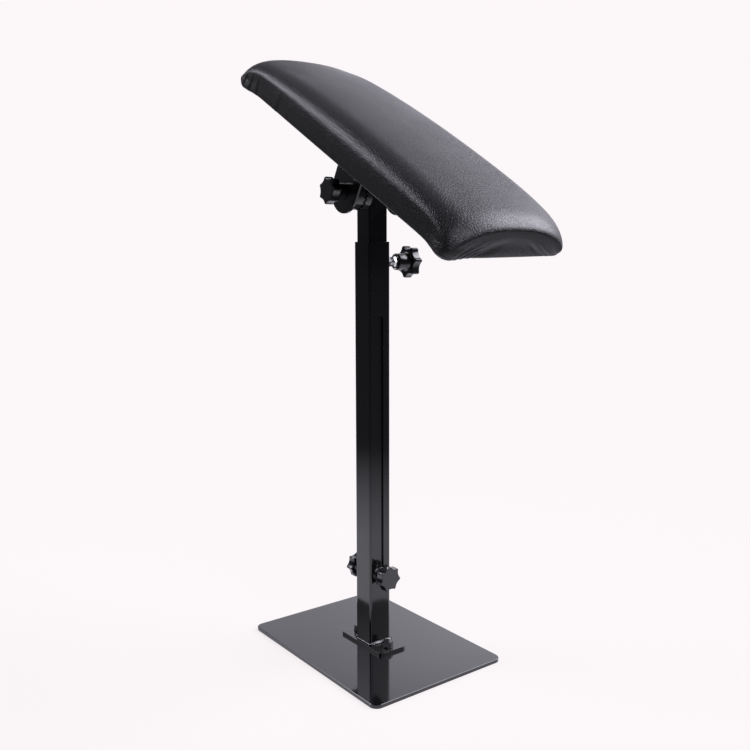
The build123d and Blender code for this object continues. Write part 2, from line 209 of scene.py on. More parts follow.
def gloss_enamel(name, smooth, rough, peel):
    """Gloss black enamel: faint orange peel, a few dust nibs, edges softened where paint draws back."""
    shader = new_material(name)
    cloud = shader.noise(9.0, detail=4.0)
    fine = shader.noise(420.0, detail=2.0)
    speck = shader.node("ShaderNodeTexVoronoi", in_Scale=95.0, in_Vector=shader.coordinates())
    nib = shader.ranged(speck.outputs["Distance"], 0.035, 0.07, 1.0, 0.0)
    colour = shader.mixed(nib, (0.0042, 0.0042, 0.0047, 1.0), (0.04, 0.04, 0.042, 1.0))
    edge = shader.node("ShaderNodeBevel", samples=4, in_Radius=0.5 * MM)
    normal = shader.bump(fine, peel, in_Normal=edge.outputs["Normal"])
    return shader.finish(Base_Color=colour, Roughness=shader.ranged(cloud, 0.3, 0.7, smooth, rough),
                         IOR=1.55, Normal=normal)


def bright_zinc(name):
    """Bright zinc plate with turning marks and a slightly cloudy passivation."""
    shader = new_material(name)
    cloud = shader.noise(160.0, detail=4.0)
    colour = shader.mixed(shader.ranged(cloud, 0.35, 0.65, 0.0, 1.0),
                          (0.58, 0.59, 0.60, 1.0), (0.76, 0.76, 0.75, 1.0))
    normal = shader.bump(shader.noise(2600.0, detail=2.0), 0.01 * MM)
    return shader.finish(Base_Color=colour, Metallic=1.0, Normal=normal,
                         Roughness=shader.ranged(cloud, 0.3, 0.7, 0.16, 0.30))


def moulded_plastic(name):
    """Polished black phenolic: near mirror, with slight sink and handling haze."""
    shader = new_material(name)
    haze = shader.noise(55.0, detail=5.0)
    normal = shader.bump(shader.noise(140.0, detail=2.0), 0.05 * MM)
    colour = shader.mixed(haze, (0.005, 0.005, 0.0056, 1.0), (0.009, 0.009, 0.0097, 1.0))
    return shader.finish(Base_Color=colour, Roughness=shader.ranged(haze, 0.35, 0.7, 0.10, 0.20),
                         IOR=1.55, Normal=normal)


def coated_leather(name):
    """Black coated leather: pebble grain of about two millimetres, finer creases with painted shade in them,
    and a soft sheen.
    """
    shader = new_material(name)
    coordinates = shader.coordinates()
    warp = shader.noise(260.0, detail=2.0, coordinates=coordinates, output="Color")
    warped = shader.vector("MULTIPLY_ADD", warp, (0.9 * MM, 0.9 * MM, 0.9 * MM), coordinates)
    pebble = shader.node("ShaderNodeTexVoronoi", feature="SMOOTH_F1", in_Scale=480.0, in_Smoothness=0.4,
                         in_Vector=warped)
    crease = shader.node("ShaderNodeTexVoronoi", feature="DISTANCE_TO_EDGE", in_Scale=290.0,
                         in_Vector=warped)
    valley = shader.ranged(crease.outputs["Distance"], 0.0, 0.12, 0.0, 1.0)
    grain = shader.math("MULTIPLY_ADD", pebble.outputs["Distance"], -0.7, 1.0)
    cloud = shader.noise(14.0, detail=5.0, coordinates=coordinates)
    fine = shader.noise(2300.0, detail=2.0, coordinates=coordinates)
    normal = shader.bump(shader.math("MULTIPLY", grain, valley), 0.19 * MM)
    normal = shader.bump(fine, 0.012 * MM, in_Normal=normal)
    # Painted shade: the colour is darker down in the grain's creases, where the crease mask is low
    colour = shader.mixed(valley, (0.005, 0.005, 0.0055, 1.0), (0.010, 0.010, 0.0108, 1.0))
    return shader.finish(Base_Color=colour, Roughness=shader.ranged(cloud, 0.3, 0.7, 0.31, 0.38), IOR=1.45,
                         Normal=normal, Sheen_Weight=0.03, Sheen_Roughness=0.5)


def lining_cloth(name):
    """Black non-woven dust cloth: matted fibres with spot bonds in rows."""
    shader = new_material(name)
    coordinates = shader.coordinates()
    fibre = shader.noise(900.0, detail=6.0, roughness=0.7, coordinates=coordinates)
    spots = shader.node("ShaderNodeTexVoronoi", in_Scale=520.0, in_Randomness=0.15, in_Vector=coordinates)
    bond = shader.ranged(spots.outputs["Distance"], 0.2, 0.45, 0.0, 1.0)
    normal = shader.bump(shader.math("ADD", fibre, bond), 0.08 * MM)
    colour = shader.mixed(fibre, (0.010, 0.010, 0.011, 1.0), (0.030, 0.030, 0.032, 1.0))
    return shader.finish(Base_Color=colour, Roughness=0.92, Normal=normal, Sheen_Weight=0.15)


def plywood(name):
    """Sanded plywood: long figure on the faces and thin plies at the edge."""
    shader = new_material(name)
    wave = shader.node("ShaderNodeTexWave", bands_direction="Z", in_Scale=60.0, in_Distortion=3.0,
                       in_Detail=3.0, in_Vector=shader.coordinates()).outputs["Fac"]
    colour = shader.mixed(wave, (0.36, 0.24, 0.13, 1.0), (0.60, 0.45, 0.28, 1.0))
    return shader.finish(Base_Color=colour, Roughness=0.7, Normal=shader.bump(wave, 0.05 * MM))


def open_foam(name):
    shader = new_material(name)
    cells = shader.noise(1500.0, detail=4.0)
    colour = shader.mixed(cells, (0.42, 0.38, 0.26, 1.0), (0.70, 0.66, 0.52, 1.0))
    return shader.finish(Base_Color=colour, Roughness=0.95, Normal=shader.bump(cells, 0.3 * MM))


# One finish for each of the record's material slots
materials = {
    "base_paint": gloss_enamel("base_enamel", 0.05, 0.09, 0.004 * MM),
    "post_paint": gloss_enamel("post_enamel", 0.07, 0.13, 0.006 * MM),
    "joint_paint": gloss_enamel("joint_enamel", 0.12, 0.22, 0.012 * MM),
    "zinc": bright_zinc("bright_zinc"),
    "knob_plastic": moulded_plastic("knob_plastic"),
    "cover_leather": coated_leather("cover_leather"),
    "foam": open_foam("foam"),
    "board": plywood("plywood"),
    "lining": lining_cloth("lining_cloth"),
}


def dress_frame():
    """Gives each carried-over node its slot's finish."""
    slots = {row["node"]: row["material_slot"] for row in frame["record"]["subparts"]}
    for name, node in frame["nodes"].items():
        node.data.materials.clear()
        node.data.materials.append(materials[slots[name]])


def mesh_piece(name, node, vertices, faces, slot, body, weld=0.0):
    """A new object, in the stand's frame, that rides on a body and stands for a carried-over node."""
    mesh = new_mesh(name, vertices, faces)
    tidy = bmesh.new()
    tidy.from_mesh(mesh)
    if weld:
        bmesh.ops.remove_doubles(tidy, verts=tidy.verts, dist=weld)
    bmesh.ops.recalc_face_normals(tidy, faces=tidy.faces)
    tidy.to_mesh(mesh)
    tidy.free()
    mesh.polygons.foreach_set("use_smooth", [True] * len(mesh.polygons))
    mesh.materials.append(materials[slot])
    piece = placed(name, mesh)
    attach(piece, body)
    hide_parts(node)
    return piece


def thicken(piece, thickness, offset):
    """Gives a skin its thickness: offset -1 is inward, 0 to both sides."""
    thick = piece.modifiers.new("thickness", "SOLIDIFY")
    thick.thickness = thickness
    thick.offset = offset


def grid_faces(rows, columns, wrap_rows=False, wrap_columns=True):
    """Quads of a grid whose vertices are listed row by row."""
    faces = []
    for row in range(rows if wrap_rows else rows - 1):
        for column in range(columns if wrap_columns else columns - 1):
            next_row = (row + 1) % rows
            next_column = (column + 1) % columns
            faces.append((row * columns + column, row * columns + next_column,
                          next_row * columns + next_column, next_row * columns + column))
    return faces


def capped_faces(rows, columns):
    """Quads of a grid that closes round, and a face over each of its two ends."""
    last = (rows - 1) * columns
    return grid_faces(rows, columns) + [tuple(range(columns)), tuple(range(last, last + columns))]


def joined(shapes):
    """The vertices and the faces of several shapes, each given as its vertices and faces."""
    vertices = []
    faces = []
    for points, quads in shapes:
        first = len(vertices)
        vertices += points
        faces += [tuple(first + index for index in quad) for quad in quads]
    return vertices, faces


def wave(place, depth, length):
    return depth * noise.noise(place / length)


def round_angles(columns):
    return [2 * math.pi * column / columns for column in range(columns)]


# Star knobs: tip radius, valley radius, thickness of the star, radius of the hub
LARGE_STAR = (22.5 * MM, 18.2 * MM, 12.7 * MM, 11.5 * MM)
SMALL_STAR = (18 * MM, 15 * MM, 12.5 * MM, 10.5 * MM)
# Lengths of the hubs, radii of the bores, and turns about the axis, which the tilt knob hasn't
CLAMP_HUB = 17 * MM
SLOT_HUB = 9 * MM
TILT_HUB = 15 * MM
SLOT_BORE = 4 * MM
TILT_BORE = 5 * MM
CLAMP_TURN = math.radians(-4.0)
FRONT_TURN = math.radians(41.5)
REAR_TURN = math.radians(20.0)
LOBES = 7
# Half a scoop's width as a share of a lobe's pitch
SCOOP_SHARE = 0.43
STAR_SOFTNESS = 0.35 * MM
KNOB_COLUMNS = 56 * LOBES
KNOB_RIM = 1.6 * MM
KNOB_RIM_STEPS = 6
KNOB_RECESS = 1.4 * MM
HUB_FLARE = 1 * MM


def star_radius(tip, valley, angle, phase):
    """Outline of the star: round tips, scooped valleys, the corners between them rolled over."""
    pitch = 2 * math.pi / LOBES
    from_valley = abs((angle - phase) % pitch - pitch / 2)
    half_scoop = SCOOP_SHARE * pitch
    reach = tip * math.cos(half_scoop) - valley
    chord = tip * math.sin(half_scoop)
    scoop = (reach ** 2 + chord ** 2) / (2 * reach)
    centre = valley + scoop
    sine = centre * math.sin(from_valley)
    inside = 2 * tip
    if sine < scoop:
        inside = centre * math.cos(from_valley) - math.sqrt(scoop ** 2 - sine ** 2)
    blend = max(STAR_SOFTNESS - abs(tip - inside), 0.0) / STAR_SOFTNESS
    return min(tip, inside) - blend * blend * STAR_SOFTNESS / 4


def knob_profile(valley, thickness, hub, hub_length, bore):
    """Half section of a knob from its bore to its cap: radius, height, share of the star's outline."""
    front = hub_length + thickness
    insert = bore + 0.35 * MM
    lip = hub - 0.7 * MM
    flare = hub + HUB_FLARE
    inner = valley - KNOB_RIM - 1.6 * MM
    profile = [(insert, 0.0, 0.0), (insert + 1.3 * MM, 0.0, 0.0), (insert + 1.8 * MM, KNOB_RECESS, 0.0),
               (lip - 1 * MM, KNOB_RECESS, 0.0), (lip - 0.5 * MM, 0.1 * MM, 0.0), (lip, 0.0, 0.0),
               (hub - 0.15 * MM, 0.25 * MM, 0.0), (hub, 0.8 * MM, 0.0),
               (hub + 0.2 * MM, hub_length * 0.6, 0.0), (flare - 0.4 * MM, hub_length - 1 * MM, 0.0),
               (flare + 0.8 * MM, hub_length, 0.0),
               (max(inner, flare + 1 * MM), hub_length + 0.02 * MM, 0.25)]
    angles = [math.pi / 2 * step / KNOB_RIM_STEPS for step in range(KNOB_RIM_STEPS + 1)]
    rim = [(KNOB_RIM * (1 - math.sin(angle)), KNOB_RIM * (1 - math.cos(angle))) for angle in angles]
    profile += [(-inward, hub_length + up, 1.0) for inward, up in rim]
    profile += [(-inward, front - down, 1.0) for down, inward in rim]
    return profile + [(inner - 0.6 * MM, front + 0.02 * MM, 0.35), (valley * 0.5, front, 0.0),
                      (0.05 * MM, front, 0.0)]


def star_knob(name, node, body, matrix, star, hub_length, bore, phase):
    """Moulded knob: flared hub with a ring recess round the insert, rolled rims and a flat cap."""
    tip, valley, thickness, hub = star
    outline = [(angle, star_radius(tip, valley, angle, phase)) for angle in round_angles(KNOB_COLUMNS)]
    profile = knob_profile(valley, thickness, hub, hub_length, bore)
    vertices = []
    for radius, height, star_share in profile:
        for angle, edge in outline:
            shaped = edge + radius if star_share == 1.0 else radius + star_share * (edge - valley)
            vertices.append(matrix @ Vector((shaped * math.cos(angle), shaped * math.sin(angle), height)))
    mesh_piece(name, node, vertices, capped_faces(len(profile), KNOB_COLUMNS), "knob_plastic", body)


def make_knobs():
    star_knob("clamp_star_knob", "clamp_knob", "clamp_screw",
              axis_matrix((0, CLAMP_KNOB_START, CLAMP_HEIGHT), (0, 1, 0), (1, 0, 0)),
              LARGE_STAR, CLAMP_HUB, THREAD_RADIUS, CLAMP_TURN)
    star_knob("front_star_knob", "front_slot_knob", "front_screw",
              axis_matrix((SLOT_KNOB_START, 0, SLOT_SCREW_HEIGHT), (1, 0, 0), (0, 1, 0)),
              SMALL_STAR, SLOT_HUB, SLOT_BORE, FRONT_TURN)
    star_knob("rear_star_knob", "rear_slot_knob", "rear_screw",
              axis_matrix((-SLOT_KNOB_START, 0, SLOT_SCREW_HEIGHT), (-1, 0, 0), (0, 1, 0)),
              SMALL_STAR, SLOT_HUB, SLOT_BORE, REAR_TURN)
    star_knob("tilt_star_knob", "tilt_knob", "tilt_screw",
              axis_matrix((0, -TILT_KNOB_START, PIVOT_HEIGHT), (0, -1, 0), (1, 0, 0)),
              SMALL_STAR, TILT_HUB, TILT_BORE, 0.0)


def make_clamp_thread():
    """Screw thread of the clamp's stud as one helical surface with flat ends."""
    matrix = axis_matrix((0, THREAD_START, CLAMP_HEIGHT), (0, 1, 0), (0, 0, 1))
    depth = 0.6 * THREAD_PITCH
    rows_per_turn = 6
    columns = 36
    rows = int(THREAD_LENGTH / THREAD_PITCH * rows_per_turn) + 1
    vertices = []
    for row in range(rows):
        height = THREAD_LENGTH * row / (rows - 1)
        ends = min(height, THREAD_LENGTH - height, THREAD_PITCH) / THREAD_PITCH
        for column, angle in enumerate(round_angles(columns)):
            share = (height / THREAD_PITCH - column / columns) % 1.0
            dip = depth * (1 - abs(2 * share - 1)) * ends
            reach = THREAD_RADIUS - dip - (1 - ends) * THREAD_END_TAPER
            vertices.append(matrix @ Vector((reach * math.cos(angle), reach * math.sin(angle), height)))
    mesh_piece("clamp_thread", "clamp_stud", vertices, capped_faces(rows, columns), "zinc", "clamp_screw")


# Weld beads: points across the face, lengths of ripples and lumps, how far a bead runs into the corner
BEAD_POINTS = 9
BEAD_COLUMNS = BEAD_POINTS + 1
BEAD_RIPPLE = 2.6 * MM
BEAD_LUMP = 9 * MM
BEAD_INSET = 0.35 * MM
BEAD_STEPS = 44
FOOT_BEAD_LEG = 4.2 * MM
DISC_BEAD_LEG = 4 * MM
EAR_BEAD_LEG = 3.2 * MM
EAR_BEAD_HALF = 28 * MM


def rounded_square(side, radius, samples_per_arc, samples_per_side):
    """Points and outward directions round a square with rounded corners."""
    points = []
    flat = side / 2 - radius
    for quarter in range(4):
        turn = Matrix.Rotation(quarter * math.pi / 2, 2)
        for step in range(samples_per_side):
            along = -flat + 2 * flat * step / samples_per_side
            points.append((turn @ Vector((side / 2, along)), turn @ Vector((1.0, 0.0))))
        for step in range(samples_per_arc):
            angle = math.pi / 2 * step / samples_per_arc
            facing = Vector((math.cos(angle), math.sin(angle)))
            points.append((turn @ (Vector((flat, flat)) + radius * facing), turn @ facing))
    return points


def bead_vertices(stations, leg, seed):
    """Rows of a fillet weld: a station is the corner's point, two leg directions and the run so far."""
    vertices = []
    for point, first, second, run in stations:
        ripple = abs(math.sin(math.pi * run / BEAD_RIPPLE)) ** 0.7
        lump = noise.noise(Vector((run / BEAD_LUMP, seed, 0.0)))
        size = leg * (0.84 + 0.10 * ripple + 0.16 * lump)
        for number in range(BEAD_POINTS):
            angle = math.pi / 2 * number / (BEAD_POINTS - 1)
            reach = size * (1.0 - 0.10 * math.sin(2 * angle))
            vertices.append(point + first * (reach * math.cos(angle)) + second * (reach * math.sin(angle)))
        vertices.append(point - first * BEAD_INSET - second * BEAD_INSET)
    return vertices


def straight_bead(low, high, point_at, first, second, leg, seed):
    """A bead along a straight corner, whose point at each run from low to high is given by a function."""
    runs = [low + (high - low) * step / (BEAD_STEPS - 1) for step in range(BEAD_STEPS)]
    stations = [(point_at(run), first, second, run) for run in runs]
    return bead_vertices(stations, leg, seed), capped_faces(BEAD_STEPS, BEAD_COLUMNS)


def make_foot_bead():
    """Weld round the foot of the post."""
    outline = rounded_square(POST_SIDE, POST_CORNER, 8, 40)
    stations = []
    run = 0.0
    last = outline[0][0]
    for point, facing in outline:
        run += (point - last).length
        last = point
        # The bead is thin where the photograph shows only a line, on the side away from the clamp
        share = 1 - 0.5 * smooth_step(0.3, 0.9, -facing.y)
        stations.append((Vector((point.x, point.y, POST_FOOT)), Vector((facing.x, facing.y, 0)) * share,
                         Vector((0, 0, share)), run))
    mesh_piece("foot_bead", "foot_weld", bead_vertices(stations, FOOT_BEAD_LEG, 1.0),
               grid_faces(len(stations), BEAD_COLUMNS, wrap_rows=True), "post_paint", "stand")


def make_disc_beads():
    """Welds behind the toothed disc, down both edges of the inner tube."""
    low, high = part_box("disc_welds")
    shapes = [straight_bead(low.z, high.z, lambda run: Vector((side * INNER_HALF, -INNER_HALF, run)),
                            Vector((side, 0, 0)), Vector((0, 1, 0)), DISC_BEAD_LEG, 3.0 + side)
              for side in (-1, 1)]
    mesh_piece("disc_beads", "disc_welds", *joined(shapes), "joint_paint", "inner_post")


def make_ear_beads():
    """Welds between the ears and the bracket plate."""
    matrix = bracket_matrix()
    turn = matrix.to_3x3()
    shapes = [straight_bead(-EAR_BEAD_HALF, EAR_BEAD_HALF,
                            lambda run: matrix @ Vector((run, side * EAR_INNER, PLATE_BOTTOM)),
                            turn @ Vector((0, -side, 0)), turn @ Vector((0, 0, -1)), EAR_BEAD_LEG, 6.0 + side)
              for side in (-1, 1)]
    mesh_piece("ear_beads", "ear_welds", *joined(shapes), "joint_paint", "pad")


# Upholstered pad, in its own frame: underside at z zero, low end toward +X, clamp's side toward +Y
PAD_RISE = 47.7 * MM
PAD_SHIFT = 7 * MM
PAD_LENGTH = 519 * MM
PAD_WIDTH = 189 * MM
PAD_THICKNESS = 1.1 * MM
PAD_SIDE_HEIGHT = 43.5 * MM
PAD_SIDE_TUCK = 3 * MM
PAD_FOLD_ROUND = 3.2 * MM
PAD_HEM = 27 * MM
BOARD_TOP = 13.6 * MM
# The stuffing's crown, lower toward the near long side and at the corners
PAD_CROWN_ACROSS = 3 * MM
PAD_CROWN_ALONG = 11.5 * MM
PAD_NEAR_SAG = 5 * MM
PAD_END_SAG = 2.5 * MM
LOW_CORNER_SAG = 31 * MM
LOW_CORNER_NEAR_SAG = 25 * MM
HIGH_CORNER_SAG = 30 * MM
# The top rolls over from this far in, down to where the side stands upright, which is lower at corners
END_ROLL = 32 * MM
SIDE_ROLL = 31 * MM
ROLL_POWER = 2.2
CORNER_POWER = 4.0
HIGH_END_SIDE = 12.5 * MM
LONG_SIDE = 28.5 * MM
LONG_SIDE_LEAN = 2.5 * MM
LOW_CORNER_FALL = 7.5 * MM
HIGH_CORNER_FALL = 13 * MM
# The roll keeps about this height, more on the near side, with a soft change where that lowers the side
LEAST_ROLL = 8.5 * MM
LEAST_ROLL_LEAN = 3.5 * MM
SOFT_CHANGE = 6 * MM
# The low end stands fuller: its upright face ends in an arch, this high at the arch's middle
LOW_END_SIDE = 35.5 * MM
LOW_END_FALL_NEAR = 22 * MM
LOW_END_FALL_FAR = 14 * MM
LOW_END_MIDDLE = -8 * MM
LOW_END_HALF = 82 * MM
# The low end's foot is tucked in and lifted on its far side, and hangs on its near side
LOW_END_TUCK = 1 * MM
LOW_END_LIFT = 1.4 * MM
# Rows down a column of the skin, and the share of the way out that the evenly spaced top rows cover
TOP_ROWS = 10
ROLL_ROWS = 26
SIDE_ROWS = 18
TURN_ROWS = 6
HEM_ROWS = 8
FLAT_SHARE = 0.6
# Steps between columns, close at the corners and wider apart between them
CORNER_STEP = 1.05 * MM
ADDED_STEP = 3 * MM
LEAST_LAST_STEP = 0.6 * MM
CLOSE_REACH = 110 * MM
WIDE_REACH = 165 * MM
# The cloth pass moves the skin by this share of its travel, and by no more than the cap
SETTLE_SHARE = 0.12
SETTLE_CAP = 6 * MM
# Its body is a little smaller than the skin, of voxels this size, and stops being held between two heights
SIM_SHRINK = 2.5 * MM
SIM_VOXEL = 6 * MM
HELD_HEIGHTS = (5 * MM, 14 * MM)
FOAM_SHRINK = 5.5 * MM
# The skin is loose above these heights, waves gently, by depth and length, and its hem stays close
LOOSE_HEIGHTS = (4 * MM, 16 * MM)
SMALL_WAVE = (0.05 * MM, 34 * MM)
LARGE_WAVE = (0.25 * MM, 95 * MM)
HEM_SLACK = 0.6 * MM
# Gathered leather fills out the foot of three corners, up to a height: by how much, how far round toward
# the long side, and over what reach. The order is low far, high far, high near, low near
BULK_HEIGHT = 14 * MM
CORNER_BULKS = ((0.0, 0.0, 17 * MM), (2 * MM, 0.0, 17 * MM), (4 * MM, 12 * MM, 28 * MM),
                (5 * MM, 10 * MM, 22 * MM))
# Pleats at a corner: (mm from the corner along the bottom edge, lean from upright away from the corner in
# degrees, reach up the side in mm, depth in mm, width in mm); less than zero is on the end face
LOW_CORNER_PLEATS = [(-66, -50, 30, 0.3, 3.0), (-42, -60, 50, 0.8, 2.4), (-33, -62, 58, 2.0, 2.1),
                     (-24, -62, 62, 2.4, 2.0), (-15, -60, 54, 2.1, 1.9), (-7, -50, 34, 1.1, 2.0),
                     (6, 20, 18, 0.4, 3.2), (20, 40, 24, 0.5, 3.4), (34, 50, 26, 0.4, 3.6)]
HIGH_CORNER_PLEATS = [(-36, -20, 24, 0.6, 3.0), (-20, -18, 22, 0.8, 3.0), (-8, -8, 17, 0.8, 2.6),
                      (4, 6, 18, 0.8, 2.8), (16, 14, 27, 0.9, 3.8), (31, 16, 32, 0.9, 5.0),
                      (51, 10, 32, 0.8, 6.0), (112, 14, 38, 0.8, 7.5), (145, 12, 24, 0.3, 7.0)]
# The far corner of the low end is drawn smooth
PLEAT_SHARES = (0.3, 1.0, 1.0, 1.0)
PLEAT_LIMIT = 3 * MM
PLEAT_REACH = 170 * MM
# Pleats wander a little as they go up and along, and are wider by their listed width this far up
PLEAT_WANDER = 0.9 * MM
WANDER_UP = 11 * MM
WANDER_ALONG = 26 * MM
PLEAT_WIDENING = 40 * MM
# The fold under the pad is pulled smooth: the pleats keep this share of their depth there
PLEAT_AT_FOLD = 0.3
PLEAT_FULL_HEIGHT = 8 * MM


def quarter_outline():
    """A quarter of the plan, from the low end to the long side: run, point, outward, end's share."""
    half_x, half_y = PAD_LENGTH / 2, PAD_WIDTH / 2
    steps = 160
    places = [(Vector((half_x, 0.0)), Vector((1.0, 0.0)), 1.0)]
    for step in range(steps + 1):
        angle = math.pi / 2 * step / steps
        toward_end = abs(math.cos(angle)) ** (2 / CORNER_POWER)
        toward_side = math.sin(angle) ** (2 / CORNER_POWER)
        point = Vector((half_x - END_ROLL * (1 - toward_end), half_y - SIDE_ROLL * (1 - toward_side)))
        outward = Vector((toward_end ** (CORNER_POWER - 1) / END_ROLL,
                          toward_side ** (CORNER_POWER - 1) / SIDE_ROLL)).normalized()
        places.append((point, outward, toward_end ** CORNER_POWER))
    places.append((Vector((0.0, half_y)), Vector((0.0, 1.0)), 0.0))
    run = 0.0
    last = places[0][0]
    outline = []
    for point, outward, end_share in places:
        run += (point - last).length
        last = point
        outline.append((run, point, outward, end_share))
    return outline


def along_outline(outline, run):
    """Point, outward direction and end's share at a distance along a quarter of the outline."""
    for before, after in zip(outline, outline[1:]):
        if run <= after[0]:
            break
    share = (run - before[0]) / max(after[0] - before[0], 1e-9)
    return (before[1].lerp(after[1], share), before[2].lerp(after[2], share).normalized(),
            before[3] + (after[3] - before[3]) * share)


def outline_places():
    """Places round the outline that get a column, alike in all quarters; its corners; its length."""
    outline = quarter_outline()
    quarter = outline[-1][0]
    end_flat = PAD_WIDTH / 2 - SIDE_ROLL
    side_flat = PAD_LENGTH / 2 - END_ROLL
    corner = end_flat + (quarter - end_flat - side_flat) / 2
    first = []
    run = 0.0
    while run < quarter - LEAST_LAST_STEP:
        first.append(run)
        run += CORNER_STEP + ADDED_STEP * smooth_step(CLOSE_REACH, WIDE_REACH, abs(run - corner))
    first.append(quarter)
    found = [(run, *along_outline(outline, run)) for run in first]
    places = []
    for number, signs in enumerate(((1, 1), (-1, 1), (-1, -1), (1, -1))):
        mirror = Vector(signs)
        onward = number % 2 == 0
        for run, point, outward, end_share in found[:-1] if onward else found[:0:-1]:
            gone = number * quarter + (run if onward else quarter - run)
            places.append((gone, mirror * point, mirror * outward, end_share))
    corners = [corner, 2 * quarter - corner, 2 * quarter + corner, 4 * quarter - corner]
    return places, corners, 4 * quarter


def crown_height(x, y):
    """Height of the stuffed top at a plan point, before its edges roll over."""
    along = min(abs(x) / (PAD_LENGTH / 2), 1.0)
    across = min(abs(y) / (PAD_WIDTH / 2), 1.0)
    top = PAD_SIDE_HEIGHT + PAD_CROWN_ACROSS + PAD_CROWN_ALONG * (1 - along ** 2)
    low_sag = LOW_CORNER_SAG if y > 0 else LOW_CORNER_NEAR_SAG
    corner = (low_sag * along ** 8 if x > 0 else HIGH_CORNER_SAG * along ** 10) * across ** 3
    near = PAD_NEAR_SAG * (1 - along ** 4) if y < 0 else 0.0
    return top - (PAD_CROWN_ACROSS + near + PAD_END_SAG * along ** 4) * across ** 2 - corner


def side_height(point, end_share):
    """Height at which the upright side ends and the top begins to roll over."""
    if point.x > 0:
        off = abs(point.y - LOW_END_MIDDLE) / LOW_END_HALF
        end_fall = LOW_END_FALL_NEAR if point.y < LOW_END_MIDDLE else LOW_END_FALL_FAR
        end = LOW_END_SIDE - end_fall * off ** 2.4
        corner_fall = LOW_CORNER_FALL
    else:
        end = HIGH_END_SIDE
        corner_fall = HIGH_CORNER_FALL
    long = LONG_SIDE - LONG_SIDE_LEAN * point.x / (PAD_LENGTH / 2)
    side = end * end_share + long * (1 - end_share) - 4 * corner_fall * end_share * (1 - end_share)
    least = LEAST_ROLL - LEAST_ROLL_LEAN * point.y / (PAD_WIDTH / 2)
    most = crown_height(point.x, point.y) - least
    return min(side, most) - max(SOFT_CHANGE - abs(side - most), 0.0) ** 2 / (4 * SOFT_CHANGE)


def pad_column(point, facing, end_share):
    """One column of the pad's skin, from the middle of the top round to the hem's inner edge."""
    spine_end = (PAD_LENGTH - PAD_WIDTH) / 2
    spine = Vector((min(max(point.x, -spine_end), spine_end), 0.0))
    outward = (point - spine).normalized()
    side_top = side_height(point, end_share)
    twist = end_share * point.y / (PAD_WIDTH / 2) if point.x > 0 else 0.0
    tuck = PAD_SIDE_TUCK + LOW_END_TUCK * twist
    lift = LOW_END_LIFT * twist
    fall = crown_height(point.x, point.y) - side_top
    shares = [FLAT_SHARE * step / TOP_ROWS for step in range(TOP_ROWS)]
    shares += [1 - (1 - FLAT_SHARE) * (1 - step / (ROLL_ROWS - 1)) ** 2.2 for step in range(ROLL_ROWS)]
    column = []
    for share in shares:
        plan = spine.lerp(point, share)
        over_side = max((abs(plan.y) - PAD_WIDTH / 2) / SIDE_ROLL + 1, 0.0)
        over_end = max((abs(plan.x) - PAD_LENGTH / 2) / END_ROLL + 1, 0.0)
        over = min((over_side ** CORNER_POWER + over_end ** CORNER_POWER) ** (1 / CORNER_POWER), 1.0)
        height = crown_height(plan.x, plan.y) - fall * (1 - math.sqrt(1 - over ** ROLL_POWER))
        column.append(Vector((plan.x, plan.y, height if share < 1 else side_top)))
    for step in range(1, SIDE_ROWS + 1):
        share = step / SIDE_ROWS
        plan = point - facing * tuck * share * share
        height = side_top + (PAD_FOLD_ROUND - side_top) * share + lift * share * share
        column.append(Vector((plan.x, plan.y, height)))
    foot = point - facing * tuck
    for step in range(1, TURN_ROWS + 1):
        angle = math.pi / 2 * step / TURN_ROWS
        plan = foot - facing * PAD_FOLD_ROUND * (1 - math.cos(angle))
        column.append(Vector((plan.x, plan.y, PAD_FOLD_ROUND * (1 - math.sin(angle)) + lift)))
    for step in range(1, HEM_ROWS + 1):
        plan = foot - facing * PAD_FOLD_ROUND - outward * PAD_HEM * step / HEM_ROWS
        column.append(Vector((plan.x, plan.y, lift * (1 - step / HEM_ROWS) ** 2)))
    return column


def pleat_profile(away, width):
    """Cross-section of a pleat: a full bank on the corner's side, a crease, and a hollow that runs out."""
    beyond = 0.5 + 0.5 * math.tanh(away / (0.4 * width))
    bank = 0.55 * math.exp(-(min(away, 0.0) / (1.5 * width)) ** 2)
    hollow = math.exp(-max(away, 0.0) / (2.2 * width))
    return beyond * hollow - (1 - beyond) * bank


def from_corner(run, corner, total):
    """How far a run is past a corner, the short way round."""
    return (run - corner + total / 2) % total - total / 2


def pleats_at(run, height, corners, total):
    """How far the skin is drawn in by the corner pleats at a place on the side."""
    depth = 0.0
    for number, corner in enumerate(corners):
        along = from_corner(run, corner, total)
        if abs(along) > PLEAT_REACH:
            continue
        # Corners 0 and 2 pass from end to side as the run grows, 1 and 3 from side to end
        along = along if number % 2 == 0 else -along
        pleats = LOW_CORNER_PLEATS if number in (0, 3) else HIGH_CORNER_PLEATS
        wander = PLEAT_WANDER * noise.noise(Vector((height / WANDER_UP, along / WANDER_ALONG, number * 7.0)))
        for index, (start, lean, reach, strength, width) in enumerate(pleats):
            # The two near corners, which the photograph shows, keep their pleats as listed
            vary = 0.0 if number in (2, 3) else noise.noise(Vector((index * 3.1, number * 5.7, 0.5)))
            slant = math.radians(lean * (1 + 0.3 * vary))
            base = (start + 3 * vary) * MM
            away = (along - base - height * math.tan(slant)) * math.cos(slant) + wander
            gone = height / math.cos(slant)
            fade = 1 - smooth_step(0.35, 1.0, gone / (reach * (1 + 0.4 * vary) * MM))
            spread = width * (0.75 + gone / PLEAT_WIDENING) * MM
            away *= 1 if start >= 0 else -1
            drawn = strength * PLEAT_SHARES[number] * (1 + 0.4 * vary) * MM
            depth += drawn * fade * pleat_profile(away, spread)
    return min(depth, PLEAT_LIMIT)


